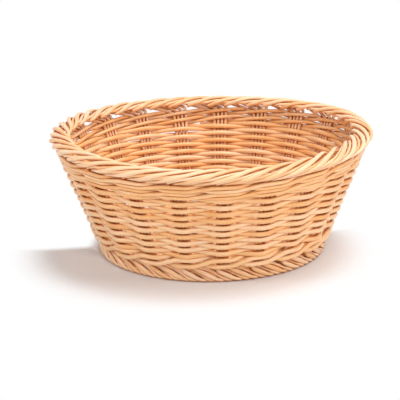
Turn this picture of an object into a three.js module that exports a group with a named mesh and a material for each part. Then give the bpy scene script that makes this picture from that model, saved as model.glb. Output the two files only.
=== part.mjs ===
// Round tapered basket woven from plastic rods, in millimetres, +Z up, standing on the floor plane z = 0.
// Twenty-one stakes of four thin rods run from the foot border, up the wall and round the rolled rim. Flat
// webs between the ends of the four, under the base, make each stake one body. Weavers pass over one stake
// and under the next, and waled rows of three rods lock the wall at the bottom and at the top.

import * as THREE from 'three';

// Counts
const rodsPerWale = 3;
const waleRepeats = 7;
const rodsPerStake = 4;
const weaverTurns = 18;
const upperWales = 2;
const sticksEachWay = 5;

// Rod sizes
const stakeRodDiameter = 2.1;
const stakeRodFlat = 0.75;
const weaverDiameter = 2.6;
const waleDiameter = 2.4;
const stickDiameter = 3.0;
const clearance = 0.3;

// Wall, measured to the centres of the stake rods
const footRadius = 80;
const footHeight = 11.7;
const wallAngle = 22;
const rodPitchAtFoot = 2.35;
const rodPitchAtRim = 3.3;
const firstStakeTurn = -12.6;

// Foot border
const footCorner = 1.6;
const footTuck = 8.5;
const footBend = 4;

// Rolled rim, an ellipse in section whose outer edge hangs lower
const rimHalfWidth = 8.0;
const rimHalfHeight = 4.4;
const rimTilt = 6.5;
const rimRise = 4.1;
const rimInset = 0.4;
const rimBend = 5;
const rimStart = -45;
const rimEnd = 205;
const rimSteps = 6;

// Hand-woven unevenness of the upper edge: lower at front and back, and higher on the right
const rimSag = 2.0;
const rimLean = 1.0;

// Woven base
const baseFloorGap = 0.6;
const slathPitch = 3.4;
const fanRadius = 22;

// Colours of the plastic
const stakeColour = 0xe0a766;
const weaverColour = 0xeab070;
const waleColour = 0xe8ae6e;
const stickColour = 0xd99b58;
const matColour = 0xe5aa69;

const stakeCount = rodsPerWale * waleRepeats;
const stakeStep = 2 * Math.PI / stakeCount;
const rodStep = stakeStep / rodsPerStake;
const firstStake = THREE.MathUtils.degToRad(firstStakeTurn);
const wallLean = THREE.MathUtils.degToRad(wallAngle);

// The stake rods are square in section, with a flat this share of their diameter wide.
const rodSide = stakeRodDiameter * stakeRodFlat;

// Heights along the sloping wall, from the top of the foot upward
const weaverPitch = weaverDiameter + clearance;
const waleOffset = (waleDiameter + clearance) / 2;
const waleHalf = waleOffset + waleDiameter / 2;
const waleToWeaver = waleOffset + (waleDiameter + weaverDiameter) / 2 + clearance;
const lowerWaleHeight = clearance + waleHalf;
const firstTurnHeight = lowerWaleHeight + waleToWeaver;
const lastTurnHeight = firstTurnHeight + weaverTurns * weaverPitch;
const upperWaleHeight = lastTurnHeight + waleToWeaver;
const walePitch = 2 * waleHalf + clearance;
const wallTop = upperWaleHeight + (upperWales - 1) * walePitch + waleHalf;

const wallRadius = (height) => footRadius + height * Math.sin(wallLean);
const wallLevel = (height) => footHeight + height * Math.cos(wallLean);
const rodPitch = (height) => THREE.MathUtils.lerp(rodPitchAtFoot, rodPitchAtRim, height / wallTop);


// How far the wall has settled at an angle round the basket, growing from nothing at the foot
function settle(angle, level) {
  const share = Math.max(0, (level - footHeight) / (wallLevel(wallTop) - footHeight));
  return share * (rimLean * Math.sin(angle) - rimSag * Math.cos(2 * angle));
}

function around(angle, radius, level) {
  return new THREE.Vector3(radius * Math.sin(angle), -radius * Math.cos(angle), level);
}

// A point beside the wall: angle round the basket, height along the slope, distance out from the rods
function wallPoint(angle, height, out) {
  const radius = wallRadius(height) + out * Math.cos(wallLean);
  const level = wallLevel(height) - out * Math.sin(wallLean);
  return around(angle, radius, level + settle(angle, level));
}

// Rods side by side, each a closed tube through stations of centre, direction along the rod and direction
// out of the basket. Over the span numbered web, flat webs join each rod to the next. With the rods running
// away from you and out upward, the next rod lies to the left.
function bundle(rods, section, ring = false, web = -1) {
  const positions = [];
  const indices = [];
  const sides = section.length;
  const quad = (a, b, c, d) => indices.push(a, b, c, a, c, d);
  rods.forEach((stations, rod) => {
    const first = positions.length / 3;
    for (const { centre, along, out } of stations) {
      const across = new THREE.Vector3().crossVectors(out, along).normalize();
      const outward = new THREE.Vector3().crossVectors(along, across).normalize();
      for (const [a, b] of section) {
        const corner = centre.clone().addScaledVector(across, a).addScaledVector(outward, b);
        positions.push(corner.x, corner.y, corner.z);
      }
    }
    const spans = ring ? stations.length : stations.length - 1;
    for (let span = 0; span < spans; span++) {
      const here = first + span * sides;
      const next = first + ((span + 1) % stations.length) * sides;
      const webBefore = span === web && rod > 0;
      const webAfter = span === web && rod < rods.length - 1;
      for (let k = 0; k < sides; k++) {
        if ((k === 0 && webBefore) || (k === 2 && webAfter)) continue;
        const l = (k + 1) % sides;
        quad(here + k, here + l, next + l, next + k);
      }
      if (webBefore) {
        const there = here - stations.length * sides;
        const beyond = next - stations.length * sides;
        quad(beyond + 2, there + 2, here + 1, next + 1);
        quad(there + 3, beyond + 3, next, here);
        quad(here + 1, there + 2, there + 3, here);
        quad(beyond + 3, beyond + 2, next + 1, next);
      }
    }
    if (!ring) {
      const last = first + (stations.length - 1) * sides;
      for (let k = 1; k < sides - 1; k++) {
        indices.push(first, first + k + 1, first + k, last, last + k, last + k + 1);
      }
    }
  });
  const geometry = new THREE.BufferGeometry();
  geometry.setAttribute('position', new THREE.Float32BufferAttribute(positions, 3));
  geometry.setIndex(indices);
  return geometry;
}

function squareSection(side) {
  const half = side / 2;
  return [[half, -half], [half, half], [-half, half], [-half, -half]];
}

function diamondSection(width) {
  const half = width / 2;
  return [[half, 0], [0, half], [-half, 0], [0, -half]];
}

// Stations through a list of points, each with its own direction out of the basket
function stationsThrough(points, ring) {
  const count = points.length;
  return points.map(({ centre, out }, i) => {
    const before = ring ? points[(i + count - 1) % count] : points[Math.max(i - 1, 0)];
    const after = ring ? points[(i + 1) % count] : points[Math.min(i + 1, count - 1)];
    const arriving = centre.clone().sub(before.centre).normalize();
    const leaving = after.centre.clone().sub(centre).normalize();
    return { centre, out, along: arriving.add(leaving).normalize() };
  });
}

// The line that every stake rod follows in section, from its end under the foot to its end inside the rim.
// Each point holds its radius, level, steepness and distance along the line.
function rodLine() {
  const line = [];
  const add = (radius, level, steepness) => {
    const previous = line[line.length - 1];
    const step = previous ? Math.hypot(radius - previous.radius, level - previous.level) : 0;
    line.push({ radius, level, steepness, distance: (previous ? previous.distance : 0) + step });
  };
  const floorLevel = rodSide / 2;
  add(footRadius - footTuck, floorLevel, 0);
  add(footRadius - footCorner, floorLevel, 0);
  add(footRadius, floorLevel + footCorner, Math.PI / 2);
  add(footRadius, (floorLevel + footCorner + footHeight) / 2, Math.PI / 2);
  add(footRadius, footHeight, Math.PI / 2 - wallLean / 2);
  const footTop = line[line.length - 1].distance;
  add(wallRadius(wallTop), wallLevel(wallTop), Math.PI / 2 - wallLean);
  const rimBottom = line[line.length - 1].distance;
  const [tilt, start, end] = [rimTilt, rimStart, rimEnd].map(THREE.MathUtils.degToRad);
  const halfWidth = rimHalfWidth - stakeRodDiameter / 2;
  const halfHeight = rimHalfHeight - stakeRodDiameter / 2;
  const rimRadius = wallRadius(wallTop) - rimInset;
  const rimLevel = wallLevel(wallTop) + rimRise;
  const roll = new THREE.EllipseCurve(rimRadius, rimLevel, halfWidth, halfHeight, start, end, false, -tilt);
  for (let i = 0; i <= rimSteps; i++) {
    const point = roll.getPointAt(i / rimSteps);
    const direction = roll.getTangentAt(i / rimSteps);
    add(point.x, point.y, Math.atan2(direction.y, direction.x));
  }
  return { line, footTop, rimBottom };
}

// Rise along the line for each radian round the basket, where all the rods lie side by side at this radius
function riseWhereParallel(radius) {
  const rise = (stakeRodDiameter + clearance) / rodStep;
  return rise / Math.sqrt(1 - (rise / radius) ** 2);
}

// A rod runs straight, bends over a short length and keeps its slope from there. Returns the angle that it
// has gained and the angle gained per length.
function lean(travel, bend, rise) {
  if (travel <= 0) return [0, 0];
  if (travel >= bend) return [(travel - bend / 2) / rise, 1 / rise];
  const x = travel / bend;
  return [bend * (x ** 3 - x ** 4 / 2) / rise, (3 * x ** 2 - 2 * x ** 3) / rise];
}

const { line, footTop, rimBottom } = rodLine();
const footRise = riseWhereParallel(footRadius - footTuck);
const rimRisePerRadian = riseWhereParallel(wallRadius(wallTop) - rimInset - rimHalfWidth);
const outermostRod = (rodsPerStake - 1) / 2;

function rodStations(stakeAngle, place) {
  const footSpread = rodPitchAtFoot / footRadius;
  const rimSpread = rodPitchAtRim / wallRadius(wallTop);
  const footDelay = footRise * (rodStep - footSpread);
  const rimDelay = rimRisePerRadian * (rodStep - rimSpread);
  return line.map(({ radius, level, steepness, distance }) => {
    const up = THREE.MathUtils.clamp((distance - footTop) / (rimBottom - footTop), 0, 1);
    const down = lean(footTop - distance + (place - outermostRod) * footDelay, footBend, footRise);
    const over = lean(distance - rimBottom + (place - outermostRod) * rimDelay, rimBend, rimRisePerRadian);
    const angle = stakeAngle + place * THREE.MathUtils.lerp(footSpread, rimSpread, up) + down[0] + over[0];
    const turning = (over[1] - down[1]) * radius;
    const centre = around(angle, radius, level + settle(angle, level));
    const radial = around(angle, 1, 0);
    const sideways = around(angle + Math.PI / 2, 1, 0);
    const along = radial.clone().multiplyScalar(Math.cos(steepness)).addScaledVector(sideways, turning);
    along.z += Math.sin(steepness);
    const out = radial.multiplyScalar(Math.sin(steepness));
    out.z -= Math.cos(steepness);
    return { centre, along: along.normalize(), out };
  });
}

function stake(number) {
  const rods = [];
  for (let i = 0; i < rodsPerStake; i++) {
    rods.push(rodStations(firstStake + number * stakeStep, i - outermostRod));
  }
  return bundle(rods, squareSection(rodSide), false, 0);
}

// Half the angle that a stake takes up at a height, with room for a rod to bend past it
function stakeHalfAngle(height) {
  return (outermostRod * rodPitch(height) + stakeRodDiameter / 2 + 2 * clearance) / wallRadius(height);
}

// Distance from the stake rods' centres to a crossing rod. Outside, its straight run must clear the corner.
function passing(height, diameter, outside) {
  const touch = rodSide / 2 + clearance + diameter / 2;
  if (!outside) return -touch;
  const radius = wallRadius(height);
  return (radius + touch) / Math.cos(stakeHalfAngle(height)) - radius;
}

function wallStation(angle, height, out) {
  const normal = around(angle, Math.cos(wallLean), -Math.sin(wallLean));
  return { centre: wallPoint(angle, height, out), out: normal };
}

// Weavers wind up the wall in one spiral, cut at the back where they pass outside a stake
const weaverJoint = (turn) => 2 * Math.round((stakeCount * (turn + 0.5) - 1) / 2) + 1;

function weaver(turn) {
  const first = weaverJoint(turn);
  const last = weaverJoint(turn + 1);
  const heightAt = (position) => firstTurnHeight + weaverPitch * (position - weaverJoint(0)) / stakeCount;
  const points = [];
  for (let position = first; position <= last; position++) {
    const half = stakeHalfAngle(heightAt(position)) / stakeStep;
    const joint = clearance / 2 / wallRadius(heightAt(position)) / stakeStep;
    const from = position === first ? joint : -half;
    const to = position === last ? -joint : half;
    for (const shift of [from, to]) {
      const height = heightAt(position + shift);
      const out = passing(height, weaverDiameter, position % 2 === 1);
      points.push(wallStation(firstStake + (position + shift) * stakeStep, height, out));
    }
  }
  return bundle([stationsThrough(points, false)], diamondSection(weaverDiameter));
}

// A waling rod passes inside one stake and outside two, rising as it goes, and drops again behind the next
function waleRod(height, rod) {
  const points = [];
  const add = (position, rise, out) => {
    points.push(wallStation(firstStake + position * stakeStep, height + rise, out));
  };
  const half = stakeHalfAngle(height) / stakeStep;
  const inside = passing(height, waleDiameter, false);
  const outside = passing(height, waleDiameter, true);
  for (let position = 0; position < stakeCount; position++) {
    const stage = (position + rod) % rodsPerWale;
    if (stage === 0) {
      add(position - half, waleOffset / 3, inside);
      add(position + half, -waleOffset / 3, inside);
      add(position + 0.5, -waleOffset, 0);
    } else if (stage === rodsPerWale - 1) {
      add(position - half, waleOffset, outside);
      add(position + half, waleOffset, outside);
      add(position + 0.5, waleOffset, 0);
    } else {
      add(position - half, -waleOffset, outside);
      add(position + half, -waleOffset, outside);
      add(position + 0.5, 0, outside);
    }
  }
  return bundle([stationsThrough(points, true)], diamondSection(waleDiameter), true);
}

// The base: sticks crossed at the centre, fanned out to a spoke for each stake, with two rods woven round
const stickSide = stickDiameter * Math.sqrt(Math.PI) / 2;
const matRadius = footRadius - rodSide / 2 - clearance;
const baseLevel = rodSide + baseFloorGap + weaverDiameter + clearance + stickSide / 2;
const spokeEnd = matRadius - 2 * clearance;
const crossingReach = sticksEachWay * slathPitch / 2 + stickSide;
const upright = new THREE.Vector3(0, 0, 1);

const spokeAngle = (spoke) => firstStake + spoke * stakeStep;

// A stick from one spoke through the crossing to the spoke opposite
function crossedStick(near, far, direction, offset, layer) {
  const ends = (radius) => [near, far].map((spoke) => around(spokeAngle(spoke), radius, baseLevel));
  const ahead = around(direction, 1, 0);
  const beside = around(direction + Math.PI / 2, 1, 0);
  const crossing = (reach) => {
    const point = ahead.clone().multiplyScalar(reach).addScaledVector(beside, offset);
    point.z = baseLevel + layer;
    return point;
  };
  const [nearEnd, farEnd] = ends(spokeEnd);
  const [nearBend, farBend] = ends(fanRadius);
  const centres = [nearEnd, nearBend, crossing(crossingReach), crossing(-crossingReach), farBend, farEnd];
  return stationsThrough(centres.map((centre) => ({ centre, out: upright })), false);
}

// Sticks side by side, joined by webs where they cross the others
function crossedSticks(firstNear, lastFar, layer) {
  const direction = spokeAngle(firstNear + (sticksEachWay - 1) / 2);
  const sticks = [];
  for (let i = 0; i < sticksEachWay; i++) {
    const offset = (i - (sticksEachWay - 1) / 2) * slathPitch;
    sticks.push(crossedStick(firstNear + i, lastFar - i, direction, offset, layer));
  }
  return bundle(sticks, squareSection(stickSide), false, 2);
}

function shortStick(spoke) {
  const points = [spokeEnd, fanRadius].map((radius) => {
    return { centre: around(spokeAngle(spoke), radius, baseLevel), out: upright };
  });
  return bundle([stationsThrough(points, false)], squareSection(stickSide));
}

// Two rods run side by side in a double spiral, from the base's outer edge in to where the spokes fan out.
// Each passes over one spoke and under the next. The second passes over those that the first passes under.
const baseRowPitch = weaverDiameter + 2 * clearance;
const outerRow = matRadius - weaverDiameter / 2;
const innerRow = fanRadius + clearance + weaverDiameter / 2;
const spokesPassed = Math.floor(stakeCount * (outerRow - innerRow - baseRowPitch) / (2 * baseRowPitch));

function baseWeaver(rod) {
  const radiusAt = (position) => outerRow - (2 * position / stakeCount + rod) * baseRowPitch;
  const touch = stickSide / 2 + clearance + weaverDiameter / 2;
  const points = [];
  for (let spoke = 0; spoke <= spokesPassed; spoke++) {
    const half = (stickSide / 2 + 2 * clearance) / radiusAt(spoke) / stakeStep;
    const lift = (spoke + rod) % 2 === 0 ? touch : -touch;
    for (const position of [spoke - half, spoke + half]) {
      const centre = around(spokeAngle(position), radiusAt(position), baseLevel + lift);
      points.push({ centre, out: upright });
    }
  }
  return bundle([stationsThrough(points, false)], diamondSection(weaverDiameter));
}

const basket = new THREE.Group();

function addPart(name, geometry, colour) {
  const plastic = new THREE.MeshStandardMaterial({ color: colour, roughness: 0.45, metalness: 0 });
  const mesh = new THREE.Mesh(geometry, plastic);
  mesh.name = name;
  basket.add(mesh);
}

const twoDigits = (number) => String(number).padStart(2, '0');

for (let i = 0; i < stakeCount; i++) {
  addPart(`stake_${twoDigits(i + 1)}`, stake(i), stakeColour);
}
for (let turn = 0; turn < weaverTurns; turn++) {
  addPart(`weaver_${twoDigits(turn + 1)}`, weaver(turn), weaverColour);
}
for (let rod = 0; rod < rodsPerWale; rod++) {
  addPart(`lower_wale_rod_${rod + 1}`, waleRod(lowerWaleHeight, rod), waleColour);
}
for (let wale = 0; wale < upperWales; wale++) {
  for (let rod = 0; rod < rodsPerWale; rod++) {
    const height = upperWaleHeight + wale * walePitch;
    addPart(`upper_wale_${wale + 1}_rod_${rod + 1}`, waleRod(height, rod), waleColour);
  }
}
const layerGap = (stickSide + clearance) / 2;
addPart('base_sticks_upper', crossedSticks(0, 3 * sticksEachWay - 1, layerGap), stickColour);
addPart('base_sticks_lower', crossedSticks(sticksEachWay, stakeCount - 1, -layerGap), stickColour);
// Where the stakes outnumber the crossed sticks' ends, a short stick makes each spoke that is left.
const firstSpareSpoke = 3 * sticksEachWay;
for (let spoke = firstSpareSpoke; spoke < stakeCount - sticksEachWay; spoke++) {
  addPart(`base_short_stick_${spoke - firstSpareSpoke + 1}`, shortStick(spoke), stickColour);
}
// The base's two rods are named after the side of the first spoke that they pass.
addPart('base_weave_top', baseWeaver(0), matColour);
addPart('base_weave_underside', baseWeaver(1), matColour);

export default basket;
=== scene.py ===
"""A round open basket, hand-woven from honey-coloured plastic rods, on a white studio floor.

Everything is in metres unless a comment says otherwise, +Z up. Angles go round the basket from the front (-Y)
towards +X. Each rod is a little thicker than the solid that it replaces, which closes the gaps that keep the
solids apart.
"""
import math

import bpy
import numpy as np
from mathutils import Matrix, Vector


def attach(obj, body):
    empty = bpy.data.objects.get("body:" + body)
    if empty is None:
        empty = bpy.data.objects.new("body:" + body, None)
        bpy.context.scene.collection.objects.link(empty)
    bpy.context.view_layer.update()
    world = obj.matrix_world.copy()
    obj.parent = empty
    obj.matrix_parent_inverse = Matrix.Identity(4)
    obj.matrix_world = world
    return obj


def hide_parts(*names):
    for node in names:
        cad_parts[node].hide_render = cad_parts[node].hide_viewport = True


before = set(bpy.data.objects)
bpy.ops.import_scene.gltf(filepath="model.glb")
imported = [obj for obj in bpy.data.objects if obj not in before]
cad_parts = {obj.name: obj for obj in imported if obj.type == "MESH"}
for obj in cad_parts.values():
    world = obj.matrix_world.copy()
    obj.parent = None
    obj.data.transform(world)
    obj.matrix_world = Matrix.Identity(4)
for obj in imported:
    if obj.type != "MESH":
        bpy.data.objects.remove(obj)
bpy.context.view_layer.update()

SEED = 21
RNG = np.random.default_rng(SEED)

# Counts
STAKES = 21
RODS_PER_STAKE = 4
RODS_PER_WALE = 3
WEAVER_TURNS = 18
UPPER_WALES = 2
STICKS_EACH_WAY = 5

# Diameters of the rods. A weaver is squeezed to a greater width where it passes outside or inside a stake.
STAKE_ROD = 0.0024
WEAVER = 0.0028
WEAVER_OUTSIDE = 0.0036
WEAVER_INSIDE = 0.0033
WALE = 0.0026
LOWER_WALE = 0.0033
STICK = 0.0033

# Wall, measured to the centres of the stake rods
FOOT_RADIUS = 0.080
FOOT_HEIGHT = 0.0117
WALL_LEAN = math.radians(22)
ROD_PITCH_AT_FOOT = 0.0019
ROD_PITCH_AT_RIM = 0.0031
FIRST_STAKE = math.radians(-12.6)

# Foot border, from the rods' ends tucked under the base to the wall. The rods run sideways until they are
# FOOT_PAST beyond its top. Every other rod is sunk between its neighbours, which are wider. A grouping of 1
# would space all the rods of the foot or rim evenly, and less keeps the rods of each stake closer together.
FOOT_TUCK = 0.0085
FOOT_BEND = 0.004
FOOT_PAST = 0.0015
FOOT_ROD_SPACING = 0.0027
FOOT_GROUPING = 0.96
FOOT_SUNK = 0.0021
FOOT_ROD_WIDTH = 0.0031

# Rolled rim, an ellipse in section whose outer edge hangs lower. Its centre is RIM_RISE above the wall's top
# and RIM_INSET inside it. The rods start to run sideways RIM_EARLY before the wall's top, and past the rim's
# top they lose up to the share RIM_DIVE of that run. Every other rod is sunk between its neighbours, which
# are wider, and all of them rise and fall a little in waves. A rod strays sideways by the share RIM_JITTER of
# the spacing.
RIM_HALF_WIDTH = 0.0082
RIM_HALF_HEIGHT = 0.0046
RIM_TILT = math.radians(6.5)
RIM_RISE = 0.0049
RIM_INSET = 0.0004
RIM_BEND = 0.005
RIM_START = math.radians(-45)
RIM_TOP = math.radians(105)
RIM_END = math.radians(232)
RIM_EARLY = 0.0032
RIM_DIVE = 0.3
RIM_ROD_SPACING = 0.0032
RIM_ROD_WIDTH = 0.0030
RIM_GROUPING = 0.95
RIM_JITTER = 0.12
RIM_SUNK = 0.0018
RIM_WAVE_DEPTH = 0.0005
RIM_WAVE = 0.020

# Hand-woven unevenness of the upper edge: lifted all round, lower at front and back than at the sides, and a
# little higher on the right
RIM_LIFT = 0.0005
RIM_SAG = 0.0015
RIM_LEAN = 0.0002

# Heights along the sloping wall, from the top of the foot upward, and how far a wale's rods spread up and
# down. The weaver's turns touch each other. An upper wale stands two rods high, and the rim presses the top
# one down by TOP_PRESSED.
LOWER_WALE_HEIGHT = 0.0037
LOWER_WALE_SPREAD = 0.0027
FIRST_TURN_HEIGHT = 0.0094
ROW_PITCH = 0.00275
UPPER_WALE_SPREAD = 0.0015
WALE_PITCH = 0.0055
TOP_PRESSED = 0.00015

# The weaver's spiral leaves a wedge of room above its last turn and one below its first. WEDGE_TURNS turns
# fill half of each, and the wales the rest. A wale rises by these shares of the wedge above and that below.
WEDGE_TURNS = 5
LOWER_WALE_WEDGE = (0, 0.5)
UPPER_WALE_WEDGE = (-0.5, 0)

# How a weaver bends past a stake. It lies flat over the share HUG of the stake's width. It is still the share
# LEFT of the way out at LEAVE past the stake's edge, which is counted in steps from stake to stake.
HUG = 0.5
LEAVE = 0.08
LEFT = 0.55

# The higher this is, the further a weaver's squeezed width reaches from the stake towards the next one
SQUEEZE_REACH = 4

# The weaver's two ends run on past their joints by END_RUN steps from stake to stake, and thin to the share
# END_THIN
END_RUN = 0.5
END_THIN = 0.5

# Unevenness of single rods: how far a stake and each of its rods bow sideways, how far a weaver stands off a
# stake at most, how far its rows wander and jump, how much its squeezed width varies, and how far the rows
# of the base jump. A wandering adds up WANDER_WAVES waves, each with a number of half waves for each stake
# that lies between the WANDER_RATES.
STAKE_BOW = 0.0004
ROD_BOW = 0.00015
WEAVER_STANDS_OFF = 0.0003
ROW_WANDERS = 0.00012
ROW_JUMPS = 0.00014
SQUEEZE_VARIES = 0.00015
BASE_ROW_JUMPS = 0.0001
WANDER_WAVES = 5
WANDER_RATES = (0.15, 0.9)

# Woven base, whose lower weaving rod clears the tucked-in rods of the foot by the gap
BASE_FLOOR_GAP = 0.0001
SLATH_PITCH = 0.0034
FAN_RADIUS = 0.022
BASE_ROW_PITCH = 0.0032
BASE_WEAVER_WIDTH = 0.0034

# Fineness of the meshes: sides of a rod, steps from stake to stake in the weave, length of a step along the
# stakes' section, points on the rim's section and on a stick, and rounds of smoothing the section's corners
ROD_SIDES = 14
STEPS_PER_STAKE = 20
SECTION_STEP = 0.0007
RIM_POINTS = 60
STICK_POINTS = 70
CORNER_ROUNDS = 5

# The edge of a rod's cut end is bevelled by this share of its diameter
END_EDGE = 0.08

# Colours of the plastic and where they lie on its scale of tones. The stakes' rods, which form the rim, get a
# paler
# copy of the same plastic: painted highlight that makes the rim's lit strands creamier.
PALE = (0.95, 0.64, 0.40)
HONEY = (0.91, 0.53, 0.25)
DEEP = (0.84, 0.37, 0.10)
STAKE_LIT_PALE = (0.96, 0.68, 0.47)
STAKE_LIT_HONEY = (0.92, 0.57, 0.31)
STAKE_LIT_DEEP = (0.85, 0.42, 0.15)
PALE_TONE = 0.95
HONEY_TONE = 0.6
DEEP_TONE = 0.25

# A tone adds up these shares of the rod's own random tone, fine streaks and long patches. The grain that
# streaks and patches follow goes from -1 to 1 each way across a rod, and along it in metres from a random
# start below GRAIN_START. A stretch multiplies these three.
ROD_SHARE = 0.40
STREAK_SHARE = 0.25
PATCH_SHARE = 0.55
STREAK_STRETCH = (2.2, 2.2, 40)
STREAK_SCALE = 1.6
STREAK_DETAIL = 4
STREAK_ROUGHNESS = 0.6
PATCH_STRETCH = (0.1, 0.1, 60)
PATCH_SCALE = 1.0
PATCH_DETAIL = 2
PATCH_ROUGHNESS = 0.5
GRAIN_START = 10

# Satin finish, with the streaks slightly raised
FINISH_ROUGHNESS = 0.32
REFRACTIVE_INDEX = 1.5
SPECULAR_LEVEL = 0.5
BUMP_STRENGTH = 0.25
BUMP_HEIGHT = 0.0001

# Painted shade: hollows between rods are painted a darker, deeper colour that stands in for the shade falling
# there, wholly where less of the space within the reach below is open than the first share of an openness,
# and not at all where more is open than the second
HOLLOW_SHADE = (0.67, 0.21, 0.03)
PAINTED_SHADE_REACH = 0.003
PAINTED_SHADE_SAMPLES = 8
WEAVE_SHADE_OPENNESS = (0.08, 0.62)
STAKE_SHADE_OPENNESS = (0.20, 0.88)

# Floor. The basket's shadow fades out between the radii of SHADOW_FADE round SHADOW_CENTRE. Outside the foot
# it also fades out, over BACK_FADE, at a line that passes BACK_LINE behind the axis and runs further back by
# BACK_SLOPE to the right.
FLOOR_SIZE = 8
FLOOR_COLOUR = (0.82, 0.815, 0.82)
FLOOR_ROUGHNESS = 0.7
FLOOR_SPECULAR = 0.1
SHADOW_CENTRE = (-0.013, -0.011)
SHADOW_FADE = (0.098, 0.134)
BACK_LINE = 0.013
BACK_SLOPE = 0.16
BACK_FADE = 0.012

# Strength of the white world as light on the basket and as seen, and the lamps: place, diameter and power
WORLD_LIGHT = 0.38
WORLD_SEEN = 1.0
LAMPS = {
    "key": ((0.28, -0.05, 1.2), 0.8, 9.8),
    "fill_front": ((0.30, -1.3, 0.85), 0.6, 6.5),
    "fill_right": ((1.2, -0.4, 0.7), 0.5, 4.4),
    "fill_left": ((-1.2, -0.4, 0.7), 0.5, 4.3),
}
LAMP_AIM = (0, 0, 0.04)

# Camera, with its sensor in millimetres. The point on the axis at TARGET_LEVEL appears at TARGET_PIXEL.
PICTURE_WIDTH = 400
SENSOR_WIDTH = 36
FOCAL_PIXELS = 1523.0
CAMERA_DISTANCE = 1.0933
CAMERA_ELEVATION = math.radians(17.48)
CAMERA_ROLL = math.radians(-0.84)
TARGET_LEVEL = 0.01955
TARGET_PIXEL = (212.02, 219.04)

STAKE_STEP = 2 * math.pi / STAKES
ROD_STEP = STAKE_STEP / RODS_PER_STAKE
OUTERMOST_ROD = (RODS_PER_STAKE - 1) / 2
LAST_TURN_HEIGHT = FIRST_TURN_HEIGHT + WEAVER_TURNS * ROW_PITCH
UPPER_WALE_HEIGHT = LAST_TURN_HEIGHT + WALE + WEAVER / 2
WALL_TOP = UPPER_WALE_HEIGHT + (UPPER_WALES - 1) * WALE_PITCH + WALE - TOP_PRESSED
RIM_RADIUS = FOOT_RADIUS + WALL_TOP * math.sin(WALL_LEAN) - RIM_INSET
RIM_LEVEL = FOOT_HEIGHT + WALL_TOP * math.cos(WALL_LEAN) + RIM_RISE
BASE_LEVEL = STAKE_ROD + BASE_FLOOR_GAP + WEAVER + STICK / 2
MAT_RADIUS = FOOT_RADIUS - STAKE_ROD / 2
UPRIGHT = np.array([0.0, 0.0, 1.0])


def stake_angle(position):
    """The angle at a position counted in stakes."""
    return FIRST_STAKE + position * STAKE_STEP


def wall_radius(height):
    """Radius of the stake rods' centres at a height along the slope."""
    return FOOT_RADIUS + height * math.sin(WALL_LEAN)


def wall_level(height):
    """Level over the floor at a height along the slope."""
    return FOOT_HEIGHT + height * math.cos(WALL_LEAN)


def around(angle, radius, level):
    """Points at an angle round the basket, as rows of x, y and z."""
    angle, radius, level = np.broadcast_arrays(angle, radius, level)
    return np.stack([radius * np.sin(angle), -radius * np.cos(angle), level], -1)


def settle(angle, level):
    """How far the wall is lifted at an angle, growing from nothing at the foot."""
    share = np.clip((level - FOOT_HEIGHT) / (wall_level(WALL_TOP) - FOOT_HEIGHT), 0, None)
    return share * (RIM_LIFT + RIM_LEAN * np.sin(angle) - RIM_SAG * np.cos(2 * angle))


def wall_points(angle, height, out):
    """Points at an angle, a height along the slope and a distance out from the stake rods' centres."""
    radius = wall_radius(height) + out * math.cos(WALL_LEAN)
    level = wall_level(height) - out * math.sin(WALL_LEAN)
    return around(angle, radius, level + settle(angle, level))


def wall_outs(angle):
    """Directions square to the wall, outward."""
    return around(angle, math.cos(WALL_LEAN), -math.sin(WALL_LEAN))


def smooth(x):
    """Rises from 0 to 1 as x does, level at both ends."""
    x = np.clip(x, 0, 1)
    return x ** 2 * (3 - 2 * x)


def curve(x, knots, values, level=True):
    """A smooth curve through values at knots. With level, it doesn't overshoot between two knots."""
    knots, values = np.asarray(knots, float), np.asarray(values, float)
    gaps = np.diff(knots)
    rates = np.diff(values) / gaps
    before, after = rates[:-1], rates[1:]
    between = (before * gaps[1:] + after * gaps[:-1]) / (gaps[1:] + gaps[:-1])
    slopes = np.concatenate([rates[:1], between, rates[-1:]])
    if level:
        same = before * after > 0
        slopes[1:-1] = np.where(same, 2 * before * after / np.where(same, before + after, 1), 0)
    i = np.clip(np.searchsorted(knots, x, side="right") - 1, 0, len(gaps) - 1)
    t = (x - knots[i]) / gaps[i]
    return (
        values[i] * (1 + 2 * t) * (1 - t) ** 2
        + values[i + 1] * t ** 2 * (3 - 2 * t)
        + gaps[i] * (slopes[i] * t * (1 - t) ** 2 - slopes[i + 1] * t ** 2 * (1 - t))
    )


def wander(x, reach):
    """A gentle random wandering of about this reach, over x counted in stakes."""
    turns = RNG.uniform(*WANDER_RATES, WANDER_WAVES)
    phases = RNG.uniform(0, 2 * math.pi, WANDER_WAVES)
    waves = sum(np.sin(x * turn * math.pi + phase) for turn, phase in zip(turns, phases))
    return reach * math.sqrt(2 / WANDER_WAVES) * waves


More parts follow.
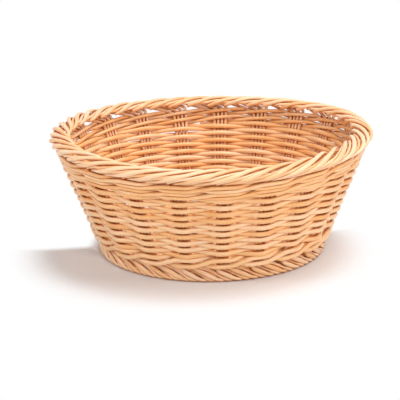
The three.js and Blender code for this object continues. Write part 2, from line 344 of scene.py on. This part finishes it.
class Rods:
    """Collects rods into one mesh, with each rod's grain and tone kept at its points."""

    def __init__(self):
        self.points, self.faces, self.grain, self.tone = [], [], [], []
        self.count = 0

    def add(self, centres, outs, thickness, width=None, closed=False):
        """Adds a rod. Its thickness is measured along outs, and its width, if it differs, across that."""
        ahead, behind = np.roll(centres, -1, 0), np.roll(centres, 1, 0)
        if not closed:
            ahead[-1], behind[0] = centres[-1], centres[0]
        along = ahead - behind
        along /= np.linalg.norm(along, axis=1, keepdims=True)
        across = np.cross(outs, along)
        across /= np.linalg.norm(across, axis=1, keepdims=True)
        normal = np.cross(along, across)
        length = np.cumsum(np.linalg.norm(centres - behind, axis=1))
        half_thickness = np.broadcast_to(thickness, len(centres)) / 2
        half_width = half_thickness if width is None else np.broadcast_to(width, len(centres)) / 2
        if not closed:
            edge = half_thickness.min() * 2 * END_EDGE
            start, end = centres[:1] - along[:1] * edge, centres[-1:] + along[-1:] * edge
            centres = np.concatenate([start, centres, end])
            across, normal, length = (np.concatenate([a[:1], a, a[-1:]]) for a in (across, normal, length))
            half_width, half_thickness = (
                np.concatenate([a[:1] - edge, a, a[-1:] - edge]) for a in (half_width, half_thickness)
            )
        turn = np.linspace(0, 2 * math.pi, ROD_SIDES, endpoint=False)
        sideways = half_width[:, None, None] * np.cos(turn)[None, :, None] * across[:, None]
        outward = half_thickness[:, None, None] * np.sin(turn)[None, :, None] * normal[:, None]
        rings = len(centres)
        here = self.count + np.arange(rings * ROD_SIDES).reshape(rings, ROD_SIDES)
        low, high = (here, np.roll(here, -1, 0)) if closed else (here[:-1], here[1:])
        quads = np.stack([low, np.roll(low, -1, 1), np.roll(high, -1, 1), high], -1).reshape(-1, 4)
        self.faces.extend(quads.tolist())
        if not closed:
            self.faces.append(here[0][::-1].tolist())
            self.faces.append(here[-1].tolist())
        grain = np.empty((rings, ROD_SIDES, 3))
        grain[..., 0], grain[..., 1] = np.cos(turn), np.sin(turn)
        grain[..., 2] = length[:, None] + RNG.uniform(0, GRAIN_START)
        self.points.append((centres[:, None] + sideways + outward).reshape(-1, 3))
        self.grain.append(grain.reshape(-1, 3))
        self.tone.append(np.full(rings * ROD_SIDES, RNG.uniform()))
        self.count += rings * ROD_SIDES

    def piece(self, name, material, slot, node):
        """Makes the rods into a piece that stands for a node."""
        mesh = bpy.data.meshes.new(name)
        mesh.from_pydata(np.concatenate(self.points).tolist(), [], self.faces)
        grain = mesh.attributes.new("grain", "FLOAT_VECTOR", "POINT")
        grain.data.foreach_set("vector", np.concatenate(self.grain).ravel())
        tone = mesh.attributes.new("tone", "FLOAT", "POINT")
        tone.data.foreach_set("value", np.concatenate(self.tone))
        mesh.polygons.foreach_set("use_smooth", [len(face) == 4 for face in self.faces])
        mesh.update()
        mesh.materials.append(material)
        piece = bpy.data.objects.new(name, mesh)
        bpy.context.scene.collection.objects.link(piece)
        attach(piece, "root")
        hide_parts(node)


# Stakes

def stake_half(height):
    """Half the width of a stake at a height, as an angle."""
    pitch = ROD_PITCH_AT_FOOT + (ROD_PITCH_AT_RIM - ROD_PITCH_AT_FOOT) * height / WALL_TOP
    return (OUTERMOST_ROD * pitch + STAKE_ROD / 2) / wall_radius(height)


def section_line():
    """The rods' line in section as radius and level, evenly spaced, and distances along it: those of its
    points, of the foot's top, of the wall's top and of the rim's top."""
    floor = STAKE_ROD / 2
    corners = [(FOOT_RADIUS - FOOT_TUCK, floor), (FOOT_RADIUS, floor), (FOOT_RADIUS, FOOT_HEIGHT)]
    corners.append((wall_radius(WALL_TOP), wall_level(WALL_TOP)))
    angles = np.linspace(RIM_START, RIM_END, RIM_POINTS)
    wide = (RIM_HALF_WIDTH - STAKE_ROD / 2) * np.cos(angles)
    high = (RIM_HALF_HEIGHT - STAKE_ROD / 2) * np.sin(angles)
    radius = RIM_RADIUS + wide * math.cos(RIM_TILT) + high * math.sin(RIM_TILT)
    level = RIM_LEVEL - wide * math.sin(RIM_TILT) + high * math.cos(RIM_TILT)
    line = np.concatenate([corners, np.stack([radius, level], 1)])
    distance = np.concatenate([[0], np.cumsum(np.linalg.norm(np.diff(line, axis=0), axis=1))])
    foot_top, rim_bottom = distance[2], distance[3]
    rim_top = np.interp(RIM_TOP, angles, distance[4:])
    even = np.linspace(0, distance[-1], round(distance[-1] / SECTION_STEP))
    line = np.stack([np.interp(even, distance, line[:, k]) for k in (0, 1)], 1)
    # Rounds the corners by averaging each point with its neighbours
    for _ in range(CORNER_ROUNDS):
        line[1:-1] = (line[:-2] + line[1:-1] + line[2:]) / 3
    return line, even, foot_top, rim_bottom, rim_top


def rise_where_parallel(radius, spacing):
    """Rise for each radian round the basket where all the rods lie this far apart at this radius."""
    rise = spacing / ROD_STEP
    return rise / math.sqrt(1 - (rise / radius) ** 2)


def swept(rate, distance):
    """The angle gained along the line at this rate."""
    steps = np.diff(distance) * (rate[1:] + rate[:-1]) / 2
    return np.concatenate([[0], np.cumsum(steps)])


def make_stakes(material):
    """Stakes of four rods side by side, from the foot border up the wall and round the rim."""
    line, distance, foot_top, rim_bottom, rim_top = section_line()
    slope = np.gradient(line, axis=0)
    slope /= np.linalg.norm(slope, axis=1, keepdims=True)
    foot_rise = rise_where_parallel(FOOT_RADIUS - FOOT_TUCK, FOOT_ROD_SPACING)
    rim_rise = rise_where_parallel(RIM_RADIUS - RIM_HALF_WIDTH, RIM_ROD_SPACING)
    foot_spread = ROD_PITCH_AT_FOOT / FOOT_RADIUS
    rim_spread = ROD_PITCH_AT_RIM / wall_radius(WALL_TOP)
    up = np.clip((distance - foot_top) / (rim_bottom - foot_top), 0, 1)
    on_rim = smooth((distance - rim_bottom) / RIM_BEND / 2)
    on_foot = smooth((foot_top - distance) / FOOT_BEND) * smooth((distance - FOOT_TUCK) / FOOT_BEND)
    diving = RIM_DIVE * smooth((distance - rim_top) / (distance[-1] - rim_top))
    for stake in range(STAKES):
        rods = Rods()
        stake_bow = RNG.normal(0, STAKE_BOW) / FOOT_RADIUS
        for rod in range(RODS_PER_STAKE):
            place = rod - OUTERMOST_ROD
            # How much further than the stake's middle a rod runs sideways, which spreads the rods all round
            foot_extra = place * foot_rise * (ROD_STEP * FOOT_GROUPING - foot_spread)
            rim_extra = place * rim_rise * (ROD_STEP * RIM_GROUPING - rim_spread)
            down = smooth((foot_top + FOOT_PAST - distance + foot_extra) / FOOT_BEND) / foot_rise
            over = smooth((distance - rim_bottom + RIM_EARLY + rim_extra) / RIM_BEND)
            over = over * (1 - diving) / rim_rise
            foot_sweep = swept(down, distance)
            bow = (stake_bow + RNG.normal(0, ROD_BOW) / FOOT_RADIUS) * np.sin(math.pi * up)
            shift = RNG.normal(0, RIM_JITTER) * ROD_STEP * on_rim
            angle = stake_angle(stake) + place * (foot_spread + (rim_spread - foot_spread) * up)
            angle = angle + foot_sweep[-1] - foot_sweep + swept(over, distance) + shift + bow
            wave = 2 * math.pi * ((distance - rim_bottom) / RIM_WAVE + RNG.uniform())
            sunk_on_foot, sunk_on_rim = rod % 2, (rod + 1) % 2
            depth = (RIM_SUNK * sunk_on_rim + RIM_WAVE_DEPTH * (1 + np.sin(wave)) / 2) * on_rim
            depth = depth + FOOT_SUNK * sunk_on_foot * on_foot
            radius = line[:, 0] - depth * slope[:, 1]
            level = line[:, 1] + depth * slope[:, 0]
            centres = around(angle, radius, level + settle(angle, level))
            width = STAKE_ROD + (RIM_ROD_WIDTH - STAKE_ROD) * on_rim * (1 - sunk_on_rim)
            width = width + (FOOT_ROD_WIDTH - STAKE_ROD) * on_foot * (1 - sunk_on_foot)
            rods.add(centres, around(angle, slope[:, 1], -slope[:, 0]), STAKE_ROD, width)
        rods.piece(f"stake_{stake + 1:02d}_rods", material, "stake_plastic", f"stake_{stake + 1:02d}")


# Weavers and wales

def weaver_joint(turn):
    """The stake at the back where a turn of the weaver begins and the one before it ends, outside."""
    return 2 * math.floor((STAKES * (turn + 0.5) - 1) / 2 + 0.5) + 1


def wedge(position):
    """The room that the spiral leaves free above its last turn and below its first, at a place round it."""
    share = np.mod(position - weaver_joint(0), STAKES)
    above = ROW_PITCH * (1 - share / STAKES) * smooth(share)
    below = ROW_PITCH * share / STAKES * smooth(STAKES - share)
    return above, below


def row_height(position):
    """Height of the weaver, whose first and last turns close up with the wales to leave no wedge open."""
    turns = (position - weaver_joint(0)) / STAKES
    above, below = wedge(np.clip(position, weaver_joint(0), weaver_joint(WEAVER_TURNS)))
    near_top = smooth(1 - (WEAVER_TURNS - turns) / WEDGE_TURNS)
    near_bottom = smooth(1 - turns / WEDGE_TURNS)
    return FIRST_TURN_HEIGHT + ROW_PITCH * turns + (above * near_top - below * near_bottom) / 2


def make_weavers(material):
    """The weaver's turns, outside one stake and inside the next, cut where the solids are."""
    # All the stakes that it passes, and two more at each end
    stakes = np.arange(weaver_joint(0) - 2, weaver_joint(WEAVER_TURNS) + 3)
    half = stake_half(row_height(stakes)) / STAKE_STEP
    stand_off = RNG.uniform(0, WEAVER_STANDS_OFF, len(stakes))
    outs = np.where(stakes % 2 == 1, 1, -1) * ((STAKE_ROD + WEAVER) / 2 + stand_off)
    near, past = half * HUG, half + LEAVE
    knots = np.stack([stakes - past, stakes - near, stakes + near, stakes + past], 1).ravel()
    bends = np.outer(outs, [LEFT, 1, 1, LEFT]).ravel()
    drift = wander(stakes, ROW_WANDERS) + RNG.normal(0, ROW_JUMPS, len(stakes))
    squeezed = np.where(stakes % 2 == 1, WEAVER_OUTSIDE, WEAVER_INSIDE)
    swell = squeezed - WEAVER + RNG.normal(0, SQUEEZE_VARIES, len(stakes))
    for turn in range(WEAVER_TURNS):
        first = weaver_joint(turn) - (END_RUN if turn == 0 else 0)
        last = weaver_joint(turn + 1) + (END_RUN if turn == WEAVER_TURNS - 1 else 0)
        positions = np.linspace(first, last, round((last - first) * STEPS_PER_STAKE) + 1)
        thinning = np.maximum(weaver_joint(0) - positions, positions - weaver_joint(WEAVER_TURNS))
        thinning = np.clip(thinning / END_RUN, 0, 1)
        out = curve(positions, knots, bends, False)
        height = row_height(positions) + curve(positions, stakes, drift, False)
        angle = stake_angle(positions)
        on_stake = 1 - (2 * np.abs(positions - np.round(positions))) ** SQUEEZE_REACH
        thickness = WEAVER * (1 - (1 - END_THIN) * thinning)
        width = thickness + curve(positions, stakes, swell, False) * on_stake * (1 - thinning)
        rods = Rods()
        rods.add(wall_points(angle, height, out), wall_outs(angle), thickness, width)
        rods.piece(f"weaver_{turn + 1:02d}_rod", material, "weaver_plastic", f"weaver_{turn + 1:02d}")


def make_wale(name, height, thickness, spread, wedge_shares, material):
    """Three rods that pass inside one stake and outside two in turn."""
    half = stake_half(height) / STAKE_STEP
    midway = 0.5
    touch = (STAKE_ROD + thickness) / 2
    # For each stake in turn: how far past the stake, rise, and distance out
    stages = [
        [(-half, spread / 3, -touch), (half, -spread / 3, -touch), (midway, -spread, 0)],
        [(-half, -spread, touch), (half, -spread, touch), (midway, 0, touch)],
        [(-half, spread, touch), (half, spread, touch), (midway, spread, 0)],
    ]
    positions = np.linspace(0, STAKES, STAKES * STEPS_PER_STAKE, endpoint=False)
    angle = stake_angle(positions)
    above, below = wedge(positions)
    row = height + wedge_shares[0] * above + wedge_shares[1] * below
    for rod in range(RODS_PER_WALE):
        knots = []
        for stake in range(-RODS_PER_WALE, STAKES + RODS_PER_WALE):
            stage = stages[(stake + rod) % RODS_PER_WALE]
            knots += [(stake + past, rise, out) for past, rise, out in stage]
        places, rises, outs = np.array(knots).T
        points = wall_points(angle, row + curve(positions, places, rises), curve(positions, places, outs))
        rods = Rods()
        rods.add(points, wall_outs(angle), thickness, closed=True)
        node = f"{name}_rod_{rod + 1}"
        rods.piece(f"{node}_round", material, "wale_plastic", node)


# Base

def add_stick(rods, corners):
    """Adds a stick that curves smoothly through its corners."""
    corners = np.array(corners)
    distance = np.concatenate([[0], np.cumsum(np.linalg.norm(np.diff(corners, axis=0), axis=1))])
    even = np.linspace(0, distance[-1], STICK_POINTS)
    centres = np.stack([curve(even, distance, corners[:, k], False) for k in range(3)], 1)
    rods.add(centres, np.tile(UPRIGHT, (len(even), 1)), STICK)


def make_sticks(material):
    """Sticks crossed in two layers at the centre that fan out to a spoke for each stake, and a short one."""
    reach = STICKS_EACH_WAY * SLATH_PITCH / 2 + STICK
    middle = (STICKS_EACH_WAY - 1) / 2
    for name, first_near, last_far, lift in (
        ("base_sticks_upper", 0, 3 * STICKS_EACH_WAY - 1, STICK / 2),
        ("base_sticks_lower", STICKS_EACH_WAY, STAKES - 1, -STICK / 2),
    ):
        direction = stake_angle(first_near + middle)
        rods = Rods()
        for i in range(STICKS_EACH_WAY):
            beside = around(direction + math.pi / 2, (i - middle) * SLATH_PITCH, 0)
            near, far = stake_angle(first_near + i), stake_angle(last_far - i)
            crossing = [around(direction, r, BASE_LEVEL + lift) + beside for r in (reach, -reach)]
            near_side = [around(near, r, BASE_LEVEL) for r in (MAT_RADIUS, FAN_RADIUS)]
            far_side = [around(far, r, BASE_LEVEL) for r in (FAN_RADIUS, MAT_RADIUS)]
            add_stick(rods, near_side + crossing + far_side)
        rods.piece(f"{name}_round", material, "base_plastic", name)
    rods = Rods()
    spare = stake_angle(3 * STICKS_EACH_WAY)
    add_stick(rods, [around(spare, r, BASE_LEVEL) for r in (MAT_RADIUS, FAN_RADIUS * 2, FAN_RADIUS)])
    rods.piece("base_short_stick_round", material, "base_plastic", "base_short_stick_1")


def make_base_weave(name, rod, node, material):
    """One of two rods that spiral inward side by side, each over one spoke and under the next."""
    outer = MAT_RADIUS - WEAVER / 2
    inner = FAN_RADIUS + WEAVER / 2
    last = math.floor(STAKES * (outer - inner - BASE_ROW_PITCH) / (2 * BASE_ROW_PITCH))
    spokes = np.arange(-1, last + 2)
    positions = np.linspace(0, last, last * STEPS_PER_STAKE + 1)

    def row_radius(position):
        return outer - (2 * position / STAKES + rod) * BASE_ROW_PITCH

    half = STICK / 2 / row_radius(spokes) / STAKE_STEP
    knots = np.stack([spokes - half, spokes + half], 1).ravel()
    lifts = np.where((spokes + rod) % 2 == 0, 1, -1) * (STICK + WEAVER) / 2
    lift = curve(positions, knots, np.repeat(lifts, 2))
    drift = curve(positions, spokes, RNG.normal(0, BASE_ROW_JUMPS, len(spokes)), False)
    rods = Rods()
    centres = around(stake_angle(positions), row_radius(positions) + drift, BASE_LEVEL + lift)
    rods.add(centres, np.tile(UPRIGHT, (len(positions), 1)), WEAVER, BASE_WEAVER_WIDTH)
    rods.piece(name, material, "base_plastic", node)


# Materials

def node_math(tree, operation, *values):
    """The result of a math node on numbers and other nodes' results."""
    made = tree.nodes.new("ShaderNodeMath")
    made.operation = operation
    for socket, value in zip(made.inputs, values):
        if isinstance(value, (int, float)):
            socket.default_value = value
        else:
            tree.links.new(value, socket)
    return made.outputs[0]


def fade(tree, value, start, end):
    """Rises smoothly from 0 to 1 as another node's result goes from start to end."""
    made = tree.nodes.new("ShaderNodeMapRange")
    made.interpolation_type = "SMOOTHSTEP"
    made.inputs["From Min"].default_value = start
    made.inputs["From Max"].default_value = end
    tree.links.new(value, made.inputs["Value"])
    return made.outputs["Result"]


def attribute(tree, name, output):
    """One output of what the mesh keeps at its points under this name."""
    made = tree.nodes.new("ShaderNodeAttribute")
    made.attribute_name = name
    return made.outputs[output]


def stretched_noise(tree, vector, stretch, scale, detail, roughness):
    """Noise over a vector whose three parts are multiplied by the stretch."""
    mapping = tree.nodes.new("ShaderNodeMapping")
    mapping.inputs["Scale"].default_value = stretch
    tree.links.new(vector, mapping.inputs["Vector"])
    noise = tree.nodes.new("ShaderNodeTexNoise")
    noise.inputs["Scale"].default_value = scale
    noise.inputs["Detail"].default_value = detail
    noise.inputs["Roughness"].default_value = roughness
    tree.links.new(mapping.outputs["Vector"], noise.inputs["Vector"])
    return noise.outputs["Fac"]


def plastic(name, pale, honey, deep, shade_openness):
    """Satin plastic rod with lengthwise streaks, in three tones of one colour, with painted shade in the
    hollows.
    """
    material = bpy.data.materials.new(name)
    material.use_nodes = True
    tree = material.node_tree
    shader = tree.nodes["Principled BSDF"]
    shader.inputs["Roughness"].default_value = FINISH_ROUGHNESS
    shader.inputs["IOR"].default_value = REFRACTIVE_INDEX
    shader.inputs["Specular IOR Level"].default_value = SPECULAR_LEVEL

    grain = attribute(tree, "grain", "Vector")
    streaks = stretched_noise(tree, grain, STREAK_STRETCH, STREAK_SCALE, STREAK_DETAIL, STREAK_ROUGHNESS)
    patches = stretched_noise(tree, grain, PATCH_STRETCH, PATCH_SCALE, PATCH_DETAIL, PATCH_ROUGHNESS)
    tone = node_math(tree, "MULTIPLY", attribute(tree, "tone", "Fac"), ROD_SHARE)
    tone = node_math(tree, "ADD", tone, node_math(tree, "MULTIPLY", streaks, STREAK_SHARE))
    tone = node_math(tree, "ADD", tone, node_math(tree, "MULTIPLY", patches, PATCH_SHARE))
    ramp = tree.nodes.new("ShaderNodeValToRGB")
    ramp.color_ramp.elements[0].position = DEEP_TONE
    ramp.color_ramp.elements[0].color = (*deep, 1)
    ramp.color_ramp.elements[1].position = PALE_TONE
    ramp.color_ramp.elements[1].color = (*pale, 1)
    ramp.color_ramp.elements.new(HONEY_TONE).color = (*honey, 1)
    tree.links.new(tone, ramp.inputs["Fac"])

    # Painted shade: the colour turns darker where little space round a point is open, as in the hollows
    # between rods
    space = tree.nodes.new("ShaderNodeAmbientOcclusion")
    space.samples = PAINTED_SHADE_SAMPLES
    space.inputs["Distance"].default_value = PAINTED_SHADE_REACH
    colour = tree.nodes.new("ShaderNodeMix")
    colour.data_type = "RGBA"
    colour.inputs["A"].default_value = (*HOLLOW_SHADE, 1)
    tree.links.new(fade(tree, space.outputs["AO"], *shade_openness), colour.inputs["Factor"])
    tree.links.new(ramp.outputs["Color"], colour.inputs["B"])
    tree.links.new(colour.outputs["Result"], shader.inputs["Base Color"])

    bump = tree.nodes.new("ShaderNodeBump")
    bump.inputs["Strength"].default_value = BUMP_STRENGTH
    bump.inputs["Distance"].default_value = BUMP_HEIGHT
    tree.links.new(streaks, bump.inputs["Height"])
    tree.links.new(bump.outputs["Normal"], shader.inputs["Normal"])
    return material


# Stage

def seen_directly(tree):
    """1 for what the camera sees, also in reflections and through glass, and 0 for light on the basket."""
    path = tree.nodes.new("ShaderNodeLightPath")
    total = path.outputs["Is Camera Ray"]
    for ray in ("Is Glossy Ray", "Is Transmission Ray"):
        total = node_math(tree, "MAXIMUM", total, path.outputs[ray])
    return total


def vector_math(tree, operation, vector, other=None):
    """The result of a math node on a vector, and on a fixed one where the operation takes two."""
    made = tree.nodes.new("ShaderNodeVectorMath")
    made.operation = operation
    tree.links.new(vector, made.inputs[0])
    if other is not None:
        made.inputs[1].default_value = other
    return made.outputs["Value" if operation in ("LENGTH", "DOT_PRODUCT") else "Vector"]


def make_floor():
    """A floor that takes the basket's shadow close by and in front, and looks plain white elsewhere."""
    bpy.ops.mesh.primitive_plane_add(size=FLOOR_SIZE)
    floor = bpy.context.object
    floor.name = "floor"
    material = bpy.data.materials.new("floor_white")
    material.use_nodes = True
    tree = material.node_tree
    shader = tree.nodes["Principled BSDF"]
    shader.inputs["Base Color"].default_value = (*FLOOR_COLOUR, 1)
    shader.inputs["Roughness"].default_value = FLOOR_ROUGHNESS
    shader.inputs["Specular IOR Level"].default_value = FLOOR_SPECULAR
    white = tree.nodes.new("ShaderNodeEmission")
    place = tree.nodes.new("ShaderNodeTexCoord").outputs["Object"]

    from_centre = vector_math(tree, "SUBTRACT", place, (*SHADOW_CENTRE, 0))
    far = fade(tree, vector_math(tree, "LENGTH", from_centre), *SHADOW_FADE)
    behind = vector_math(tree, "DOT_PRODUCT", place, (-BACK_SLOPE, 1, 0))
    behind = fade(tree, behind, BACK_LINE - BACK_FADE / 2, BACK_LINE + BACK_FADE / 2)
    beside = fade(tree, vector_math(tree, "LENGTH", place), FOOT_RADIUS, FOOT_RADIUS + BACK_FADE)
    plain = node_math(tree, "MAXIMUM", far, node_math(tree, "MULTIPLY", behind, beside))
    mix = tree.nodes.new("ShaderNodeMixShader")
    tree.links.new(node_math(tree, "MULTIPLY", plain, seen_directly(tree)), mix.inputs["Fac"])
    tree.links.new(shader.outputs["BSDF"], mix.inputs[1])
    tree.links.new(white.outputs["Emission"], mix.inputs[2])
    tree.links.new(mix.outputs["Shader"], tree.nodes["Material Output"].inputs["Surface"])
    floor.data.materials.append(material)


def make_world():
    """White to the camera and in reflections, and a weaker white light on the basket."""
    world = bpy.data.worlds.new("studio")
    world.use_nodes = True
    tree = world.node_tree
    background = tree.nodes["Background"]
    background.inputs["Color"].default_value = (1, 1, 1, 1)
    strength = tree.nodes.new("ShaderNodeMapRange")
    strength.inputs["To Min"].default_value = WORLD_LIGHT
    strength.inputs["To Max"].default_value = WORLD_SEEN
    tree.links.new(seen_directly(tree), strength.inputs["Value"])
    tree.links.new(strength.outputs["Result"], background.inputs["Strength"])
    bpy.context.scene.world = world


def make_lamp(name, place, size, power):
    """A round soft lamp that is aimed at the basket."""
    light = bpy.data.lights.new(name, "AREA")
    light.shape = "DISK"
    light.size = size
    light.energy = power
    lamp = bpy.data.objects.new(name, light)
    lamp.location = place
    lamp.rotation_euler = (Vector(LAMP_AIM) - Vector(place)).to_track_quat("-Z", "Y").to_euler()
    bpy.context.scene.collection.objects.link(lamp)


def make_camera():
    """Looks along +Y from above, a little rolled."""
    data = bpy.data.cameras.new("camera")
    data.sensor_width = SENSOR_WIDTH
    data.lens = data.sensor_width * FOCAL_PIXELS / PICTURE_WIDTH
    camera = bpy.data.objects.new("camera", data)
    bpy.context.scene.collection.objects.link(camera)
    bpy.context.scene.camera = camera
    back = Vector((0, -math.cos(CAMERA_ELEVATION), math.sin(CAMERA_ELEVATION)))
    level_up = Vector((0, math.sin(CAMERA_ELEVATION), math.cos(CAMERA_ELEVATION)))
    level_right = Vector((1, 0, 0))
    right = math.cos(CAMERA_ROLL) * level_right + math.sin(CAMERA_ROLL) * level_up
    up = math.cos(CAMERA_ROLL) * level_up - math.sin(CAMERA_ROLL) * level_right
    straight = Matrix((right, up, back)).transposed()
    middle = PICTURE_WIDTH / 2
    seen = Vector((TARGET_PIXEL[0] - middle, middle - TARGET_PIXEL[1], -FOCAL_PIXELS))
    aside = seen.rotation_difference(Vector((0, 0, -1))).to_matrix()
    location = Vector((0, 0, TARGET_LEVEL)) + back * CAMERA_DISTANCE
    camera.matrix_world = Matrix.Translation(location) @ (straight @ aside).to_4x4()


make_camera()
# The stakes' paler copy of the plastic is painted highlight on the rim, and it darkens more in the hollows:
# painted shade
stake_plastic = plastic("stake_plastic", STAKE_LIT_PALE, STAKE_LIT_HONEY, STAKE_LIT_DEEP, STAKE_SHADE_OPENNESS)
weaver_plastic = plastic("weaver_plastic", PALE, HONEY, DEEP, WEAVE_SHADE_OPENNESS)
wale_plastic = plastic("wale_plastic", PALE, HONEY, DEEP, WEAVE_SHADE_OPENNESS)
base_plastic = plastic("base_plastic", PALE, HONEY, DEEP, WEAVE_SHADE_OPENNESS)
make_stakes(stake_plastic)
make_weavers(weaver_plastic)
make_wale("lower_wale", LOWER_WALE_HEIGHT, LOWER_WALE, LOWER_WALE_SPREAD, LOWER_WALE_WEDGE, wale_plastic)
for wale in range(UPPER_WALES):
    height = UPPER_WALE_HEIGHT + wale * WALE_PITCH
    make_wale(f"upper_wale_{wale + 1}", height, WALE, UPPER_WALE_SPREAD, UPPER_WALE_WEDGE, wale_plastic)
make_sticks(base_plastic)
make_base_weave("base_weave_top_rod", 0, "base_weave_top", weaver_plastic)
make_base_weave("base_weave_underside_rod", 1, "base_weave_underside", weaver_plastic)
make_floor()
make_world()
for name, (place, size, power) in LAMPS.items():
    make_lamp(name, place, size, power)
bpy.context.scene.view_settings.view_transform = "Standard"
